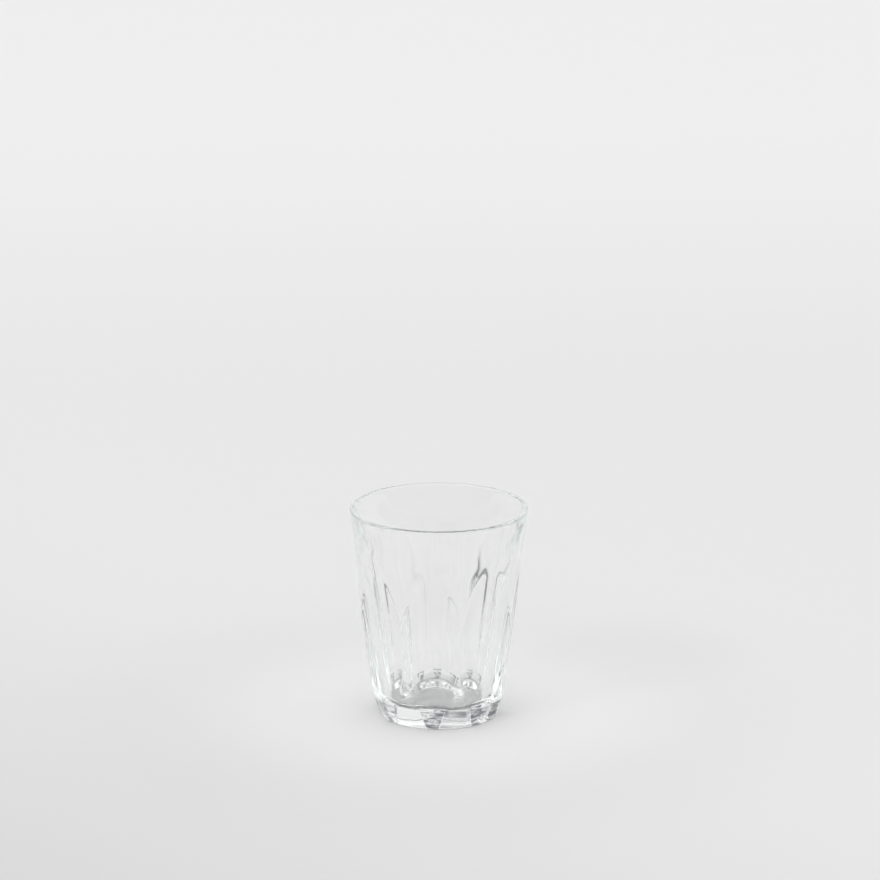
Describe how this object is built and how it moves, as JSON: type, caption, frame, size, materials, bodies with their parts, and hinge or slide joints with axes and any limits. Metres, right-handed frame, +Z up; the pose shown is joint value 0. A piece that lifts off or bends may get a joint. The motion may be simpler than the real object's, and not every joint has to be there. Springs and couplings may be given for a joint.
{
  "type": "juice glass",
  "caption": "Small tumbler of clear pressed glass with eight shallow arched flutes round its wall, a plain flared rim band and a thick base, for juice and other cold drinks.",
  "frame": {"origin": "centre of the resting ring, on the surface that the glass stands on", "axes": "+Z up along the glass's axis, -Y towards the front, where one flute faces"},
  "size_m": [0.0666, 0.0666, 0.08],
  "materials": {
    "clear_glass": "clear, fire polished, slightly wavy from the mould, with fine wear on the resting ring"
  },
  "bodies": {
    "root": {"base": "clear_glass", "fluted_wall": "clear_glass", "rim_band": "clear_glass"}
  },
  "joints": []
}
